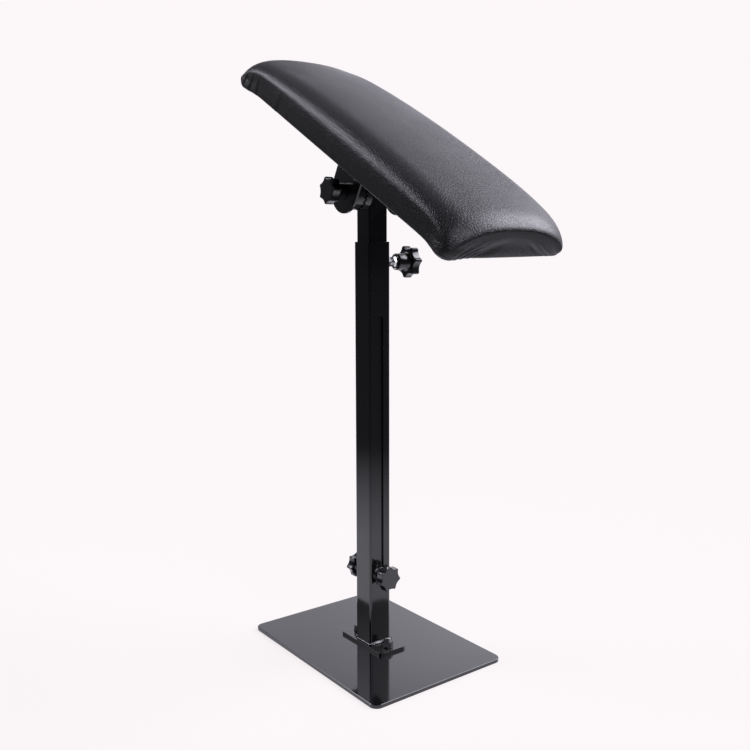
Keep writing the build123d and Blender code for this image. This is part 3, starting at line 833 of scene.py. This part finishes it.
def bulk_at(run, corners, total):
    """How far gathered leather fills out the foot of the pad at a place along its outline."""
    moved = 0.0
    for number, (bulk, shift, spread) in enumerate(CORNER_BULKS):
        toward_side = shift if number % 2 == 0 else -shift
        apart = from_corner(run - toward_side, corners[number], total)
        moved += bulk * math.exp(-(apart / spread) ** 2)
    return moved


def closed_copy(name, columns, shrink_by):
    """The skin as one closed body, drawn in by a small amount all round."""
    rows = len(columns[0])
    vertices = [column[row] for row in range(rows) for column in columns]
    mesh = new_mesh(name, vertices, grid_faces(rows, len(columns)))
    closing = bmesh.new()
    closing.from_mesh(mesh)
    bmesh.ops.remove_doubles(closing, verts=closing.verts, dist=0.3 * MM)
    bmesh.ops.holes_fill(closing, edges=[edge for edge in closing.edges if edge.is_boundary], sides=0)
    bmesh.ops.recalc_face_normals(closing, faces=closing.faces)
    size = Vector((PAD_LENGTH, PAD_WIDTH, 2 * PAD_SIDE_HEIGHT)) / 2
    for vertex in closing.verts:
        for axis in range(3):
            vertex.co[axis] *= 1 - shrink_by / size[axis]
    closing.to_mesh(mesh)
    closing.free()
    return placed(name, mesh)


def applied(body):
    """Replaces an object's mesh by what its modifiers make of it."""
    depsgraph = bpy.context.evaluated_depsgraph_get()
    mesh = bpy.data.meshes.new_from_object(body.evaluated_get(depsgraph))
    body.modifiers.clear()
    body.data = mesh
    return mesh


def settled(columns):
    """Cloth pass: where the cover goes when the stuffing presses on it, as places and their travel."""
    body = closed_copy("pad_sim", columns[::5], SIM_SHRINK)
    remesh = body.modifiers.new("remesh", "REMESH")
    remesh.mode = "VOXEL"
    remesh.voxel_size = SIM_VOXEL
    mesh = applied(body)
    held = body.vertex_groups.new(name="held")
    for vertex in mesh.vertices:
        weight = 1 - smooth_step(*HELD_HEIGHTS, vertex.co.z)
        if weight > 0:
            held.add([vertex.index], weight, "REPLACE")
    before = [vertex.co.copy() for vertex in mesh.vertices]
    cloth = body.modifiers.new("cloth", "CLOTH").settings
    cloth.quality = 6
    cloth.mass = 0.3
    cloth.tension_stiffness = 40
    cloth.compression_stiffness = 40
    cloth.bending_stiffness = 2.0
    cloth.use_pressure = True
    cloth.uniform_pressure_force = 4.0
    cloth.vertex_group_mass = "held"
    cloth.effector_weights.gravity = 0.0
    for number in range(1, 21):
        scene.frame_set(number)
    mesh = applied(body)
    scene.frame_set(1)
    travel = [vertex.co - start for vertex, start in zip(mesh.vertices, before)]
    places = KDTree(len(before))
    for index, start in enumerate(before):
        places.insert(start, index)
    places.balance()
    bpy.data.objects.remove(body)
    return places, travel


def outward_travel(columns, vertices, normals):
    """How far the cloth pass moves each vertex outward, beyond what it moves the top as a whole."""
    places, travel = settled(columns)
    travels = []
    for vertex, normal in zip(vertices, normals):
        near = places.find_n(vertex, 8)
        weights = [1 / (distance + 1 * MM) for place, which, distance in near]
        pulls = [travel[which] * weight for (place, which, distance), weight in zip(near, weights)]
        travels.append((sum(pulls, Vector()) / sum(weights)).dot(normal))
    top = travels[:len(columns) * TOP_ROWS]
    usual = sum(top) / len(top)
    return [min(max(value - usual, -SETTLE_CAP), SETTLE_CAP) for value in travels]


def skin_normals(vertices, faces, count):
    """Outward directions of the pad's form; along the spine, where columns meet, straight up."""
    mesh = new_mesh("pad_form", vertices, faces)
    mesh.update()
    normals = [vertex.normal.copy() for vertex in mesh.vertices]
    if normals[count * 4].z < 0:
        normals = [-normal for normal in normals]
    normals[:2 * count] = [Vector((0, 0, 1))] * (2 * count)
    return normals


def make_cover(columns, runs, corners, total):
    """Cover of the pad: crowned skin, settled by the cloth pass, then pleated at the corners."""
    rows = len(columns[0])
    count = len(columns)
    vertices = [column[row] for row in range(rows) for column in columns]
    faces = grid_faces(rows, count)
    normals = skin_normals(vertices, faces, count)
    travels = outward_travel(columns, vertices, normals)
    matrix = pad_matrix()
    shaped = []
    for index, vertex in enumerate(vertices):
        row, column = divmod(index, count)
        loose = smooth_step(*LOOSE_HEIGHTS, vertex.z)
        moved = SETTLE_SHARE * travels[index] * loose
        if row >= TOP_ROWS:
            low = 1 - smooth_step(0.0, BULK_HEIGHT, vertex.z)
            moved += bulk_at(runs[column], corners, total) * low
            past_turn = row - (TOP_ROWS + ROLL_ROWS + SIDE_ROWS + TURN_ROWS)
            kept = 1.0 if past_turn < 0 else 1 - past_turn / HEM_ROWS
            kept *= PLEAT_AT_FOLD + (1 - PLEAT_AT_FOLD) * smooth_step(0.0, PLEAT_FULL_HEIGHT, vertex.z)
            moved -= kept * pleats_at(runs[column], max(vertex.z, 0.0), corners, total)
        moved += loose * (wave(vertex, *SMALL_WAVE) + wave(vertex, *LARGE_WAVE))
        normal = normals[index]
        if row >= rows - HEM_ROWS:
            moved = min(abs(moved), HEM_SLACK) * (rows - row) / HEM_ROWS
            normal = Vector((0, 0, -1))
        shaped.append(matrix @ (vertex + normal * moved))
    piece = mesh_piece("pad_skin", "pad_cover", shaped, faces, "cover_leather", "pad", weld=0.01 * MM)
    thicken(piece, PAD_THICKNESS, -1.0)


def make_foam(columns):
    """Foam core on the board, a little inside the cover."""
    core = closed_copy("foam_core", columns[::6], FOAM_SHRINK)
    for vertex in core.data.vertices:
        vertex.co.z = max(vertex.co.z, BOARD_TOP)
    core.data.transform(pad_matrix())
    core.data.materials.append(materials["foam"])
    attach(core, "pad")
    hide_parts("pad_foam")


def make_pad():
    places, corners, total = outline_places()
    columns = [pad_column(point, outward, end_share) for run, point, outward, end_share in places]
    make_cover(columns, [place[0] for place in places], corners, total)
    make_foam(columns)


# Dust cloth, whose puckers and ragged edge run out over a short reach, and its staples
LINING_MARGIN = 14 * MM
LINING_THICKNESS = 0.3 * MM
LINING_DROP = 0.38 * MM
LINING_WAVE = (0.10 * MM, 30 * MM)
PUCKER_DEPTH = 0.12 * MM
PUCKER_LENGTH = 6.7 * MM
PUCKER_REACH = 10 * MM
RAGGED_WAVE = (0.5 * MM, 12 * MM)
RAGGED_REACH = 3 * MM
STAPLE_INSET = 20 * MM
STAPLE_END_GAP = 16 * MM
STAPLE_PITCH = 42 * MM
STAPLE_HALF = 5 * MM
STAPLE_BEND = 0.4 * MM
STAPLE_TOP = 0.3 * MM
STAPLE_DROP = 1.25 * MM
STAPLE_WIRE = 0.35 * MM


def make_lining():
    """Dust cloth stapled over the hem, puckered a little between its staples."""
    half_x = PAD_LENGTH / 2 - LINING_MARGIN
    half_y = PAD_WIDTH / 2 - LINING_MARGIN
    steps_x = 150
    steps_y = 54
    matrix = pad_matrix()
    vertices = []
    for row in range(steps_y + 1):
        for column in range(steps_x + 1):
            x = half_x * (2 * column / steps_x - 1)
            y = half_y * (2 * row / steps_y - 1)
            edge = min(half_x - abs(x), half_y - abs(y))
            pucker = PUCKER_DEPTH * math.sin(x / PUCKER_LENGTH) * math.exp(-edge / PUCKER_REACH)
            pucker += wave(Vector((x, y, 0)), *LINING_WAVE)
            ragged = wave(Vector((x, y, 3.0)), *RAGGED_WAVE) * math.exp(-edge / RAGGED_REACH)
            vertices.append(matrix @ Vector((x + ragged, y + ragged, pucker - LINING_DROP)))
    faces = grid_faces(steps_y + 1, steps_x + 1, wrap_columns=False)
    piece = mesh_piece("dust_cloth", "underside_lining", vertices, faces, "lining", "pad")
    thicken(piece, LINING_THICKNESS, 0.0)


def wire(points, radius, columns):
    """Vertices and faces of a wire through a few points, closed at both ends."""
    vertices = []
    for index, point in enumerate(points):
        before = points[max(index - 1, 0)]
        after = points[min(index + 1, len(points) - 1)]
        along = (after - before).normalized()
        side = along.orthogonal().normalized()
        other = along.cross(side)
        for angle in round_angles(columns):
            vertices.append(point + (side * math.cos(angle) + other * math.sin(angle)) * radius)
    return vertices, capped_faces(len(points), columns)


def make_staples():
    """Staples through the dust cloth's edge, each a little askew."""
    chance = random.Random(4)
    matrix = pad_matrix()
    half_x = PAD_LENGTH / 2 - STAPLE_INSET
    half_y = PAD_WIDTH / 2 - STAPLE_INSET
    bend = STAPLE_HALF - STAPLE_BEND
    leg = STAPLE_TOP - STAPLE_DROP
    shape = [(-STAPLE_HALF, STAPLE_TOP), (-STAPLE_HALF, leg), (-bend, -STAPLE_DROP),
             (bend, -STAPLE_DROP), (STAPLE_HALF, leg), (STAPLE_HALF, STAPLE_TOP)]
    staples = []
    for half_run, half_across, turn in ((half_x, half_y, 0.0), (half_y, half_x, math.pi / 2)):
        count = int(2 * (half_run - STAPLE_END_GAP) / STAPLE_PITCH)
        for index in range(count + 1):
            for side in (-1, 1):
                local = Vector(((index - count / 2) * STAPLE_PITCH, side * half_across, 0))
                place = Matrix.Rotation(turn, 3, "Z") @ local
                askew = Matrix.Rotation(turn + math.radians(chance.uniform(-9, 9)), 3, "Z")
                points = [matrix @ (place + askew @ Vector((x, 0, z))) for x, z in shape]
                staples.append(wire(points, STAPLE_WIRE, 8))
    mesh_piece("dust_cloth_staples", "lining_staples", *joined(staples), "zinc", "pad")


# Pan-head screws with cross recesses
HEAD_RADIUS = 5.5 * MM
HEAD_HEIGHT = 3.3 * MM
HEAD_RINGS = 22
HEAD_COLUMNS = 72
CROSS_HALF = 0.75 * MM
CROSS_REACH = 3.1 * MM
CROSS_RUN_OUT = 3.6 * MM
CROSS_DEPTH = 1.6 * MM
SHANK_RADIUS = 3 * MM
SHANK_LENGTH = 15 * MM


def pad_screw(matrix, x, y):
    """One screw, head down, with its seat on the bracket plate."""
    rows = []
    for ring in range(HEAD_RINGS + 1):
        radius = HEAD_RADIUS * max(ring / HEAD_RINGS, 0.002)
        dome = math.sqrt(max(1 - (radius / HEAD_RADIUS) ** 4, 0.0))
        rows.append((radius, PLATE_BOTTOM - HEAD_HEIGHT * (0.65 + 0.35 * dome)))
    rows += [(HEAD_RADIUS, PLATE_BOTTOM - HEAD_HEIGHT * 0.25), (HEAD_RADIUS, PLATE_BOTTOM),
             (SHANK_RADIUS, PLATE_BOTTOM), (SHANK_RADIUS, PLATE_BOTTOM + SHANK_LENGTH)]
    vertices = []
    for number, (radius, height) in enumerate(rows):
        for angle in round_angles(HEAD_COLUMNS):
            off_x, off_y = radius * math.cos(angle), radius * math.sin(angle)
            cut = 0.0
            if number <= HEAD_RINGS and radius < CROSS_REACH and min(abs(off_x), abs(off_y)) < CROSS_HALF:
                cut = CROSS_DEPTH * (1 - radius / CROSS_RUN_OUT)
            vertices.append(matrix @ Vector((x + off_x, y + off_y, height + cut)))
    return vertices, capped_faces(len(rows), HEAD_COLUMNS)


def make_pad_screws():
    """The screws that hold the bracket plate to the pad."""
    matrix = bracket_matrix()
    screws = [pad_screw(matrix, x, y)
              for x in (-PAD_SCREW_X, PAD_SCREW_X) for y in (-PAD_SCREW_Y, PAD_SCREW_Y)]
    mesh_piece("cross_head_screws", "pad_screws", *joined(screws), "zinc", "pad")


# The floor and backdrop as the camera sees them
BACKGROUND = (0.973, 0.930, 0.947, 1.0)
# Soft lights of the room, as directions from the object: centre, how much narrower each is along x, y and z,
# inner and outer reach on the unit sphere, and level
ROOM_LIGHTS = [
    ((0.30, 0.75, 0.58), (1.0, 1.0, 1.2), 0.30, 0.60, 7.8),
    ((-0.79, 0.58, 0.19), (1, 1, 1), 0.25, 0.44, 1.05),
    ((-0.45, 0.80, 0.30), (0.9, 0.9, 1.0), 0.15, 0.45, 0.6),
    ((-0.60, -0.49, 0.63), (1, 1, 1), 0.00, 0.34, 12.5),
    ((0.86, -0.15, 0.48), (1, 1, 1), 0.15, 0.50, 4.3),
    ((-0.36, 0.02, 0.93), (1.0, 1.4, 1.0), 0.05, 0.40, 0.6),
    ((-0.34, 0.60, 0.72), (1, 1, 1), 0.20, 0.62, 0.42),
    ((-0.41, 0.51, 0.755), (1, 1, 1), 0.04, 0.22, 0.6),
    ((-0.89, -0.39, 0.24), (1, 1, 1), 0.08, 0.38, 0.25),
]
ROOM_LEVEL = 0.03
# Tint of the light, and how much of it a level surface gives back where it is white
LIGHT_TINT = (0.975, 0.955, 1.07, 1.0)
LIGHT_ON_FLOOR = 1.40
# Share of the floor's look that is light on it rather than its own glow, so that it takes a shadow,
# and how far from the object that share begins and ends to run out
FLOOR_PAINT_SHARE = 0.18
SHADOW_REACH = (0.5, 1.1)
# Floor as the object reflects it: full level near by, dim further off
FLOOR_NEAR = 0.5
FLOOR_FAR = 1.3
FLOOR_FAR_LEVEL = 0.08
FLOOR_HALF = 30.0
FLOOR_HEIGHT = -0.2 * MM
# Toward this side of the room the floor runs on as a white backdrop, between these cosines of the angle off
BACKDROP_SIDE = (-0.80, 0.60, 0.0)
BACKDROP_EDGE = (0.80, 0.93)


def floor_material():
    """Floor with no horizon: it glows at the background's level, and near the object takes its shadow."""
    shader = new_material("studio_floor")
    seen = shader.node("ShaderNodeLightPath").outputs["Is Camera Ray"]
    position = shader.node("ShaderNodeNewGeometry").outputs["Position"]
    flat = shader.vector("MULTIPLY", position, (1.0, 1.0, 0.0))
    away = shader.vector("LENGTH", flat, output="Value")
    near = shader.ranged(away, *SHADOW_REACH, 1.0, 0.0)
    held_back = shader.ranged(near, 0.0, 1.0, 1.0, 1.0 - FLOOR_PAINT_SHARE)
    dimming = shader.ranged(away, FLOOR_NEAR, FLOOR_FAR, 1.0, FLOOR_FAR_LEVEL)
    toward = shader.math("DIVIDE", shader.vector("DOT_PRODUCT", flat, BACKDROP_SIDE, output="Value"), away)
    mirrored = shader.math("MAXIMUM", dimming, shader.ranged(toward, *BACKDROP_EDGE, 0.0, 1.0))
    glow = shader.node("ShaderNodeEmission", in_Color=shader.mixed(seen, LIGHT_TINT, BACKGROUND),
                       in_Strength=shader.mixed(seen, mirrored, held_back, data_type="FLOAT"))
    full_paint = [FLOOR_PAINT_SHARE * look / (LIGHT_ON_FLOOR * light)
                  for look, light in zip(BACKGROUND[:3], LIGHT_TINT)]
    paint = shader.node("ShaderNodeBsdfDiffuse",
                        in_Color=shader.mixed(near, (0.0, 0.0, 0.0, 1.0), (*full_paint, 1.0)))
    both = shader.node("ShaderNodeAddShader", glow.outputs["Emission"], paint.outputs["BSDF"])
    shader.node("ShaderNodeOutputMaterial", in_Surface=both.outputs["Shader"])
    return shader.owner


def studio_floor():
    signs = ((-1, -1), (1, -1), (1, 1), (-1, 1))
    corners = [(x * FLOOR_HALF, y * FLOOR_HALF, FLOOR_HEIGHT) for x, y in signs]
    mesh = new_mesh("studio_floor", corners, [(0, 1, 2, 3)])
    mesh.materials.append(floor_material())
    placed("studio_floor", mesh)


def studio_room():
    """The world: background colour to the camera, and a dim room with soft lights to the object."""
    room = Shader(bpy.data.worlds.new("studio"))
    direction = room.node("ShaderNodeTexCoord").outputs["Generated"]
    total = ROOM_LEVEL
    for centre, narrowing, inner, outer, level in ROOM_LIGHTS:
        apart = room.vector("SUBTRACT", direction, Vector(centre).normalized())
        reach = room.vector("LENGTH", room.vector("MULTIPLY", apart, narrowing), output="Value")
        total = room.math("ADD", room.ranged(reach, inner, outer, level, 0.0, kind="SMOOTHSTEP"), total)
    lit = room.node("ShaderNodeBackground", in_Color=LIGHT_TINT, in_Strength=total)
    backdrop = room.node("ShaderNodeBackground", in_Color=BACKGROUND)
    seen = room.node("ShaderNodeLightPath").outputs["Is Camera Ray"]
    choice = room.node("ShaderNodeMixShader", seen, lit.outputs["Background"],
                       backdrop.outputs["Background"])
    room.node("ShaderNodeOutputWorld", in_Surface=choice.outputs["Shader"])
    scene.world = room.owner


place_camera()
studio_floor()
studio_room()
dress_frame()
make_knobs()
make_clamp_thread()
make_foot_bead()
make_disc_beads()
make_ear_beads()
make_pad()
make_lining()
make_staples()
make_pad_screws()

scene.view_settings.view_transform = "Standard"
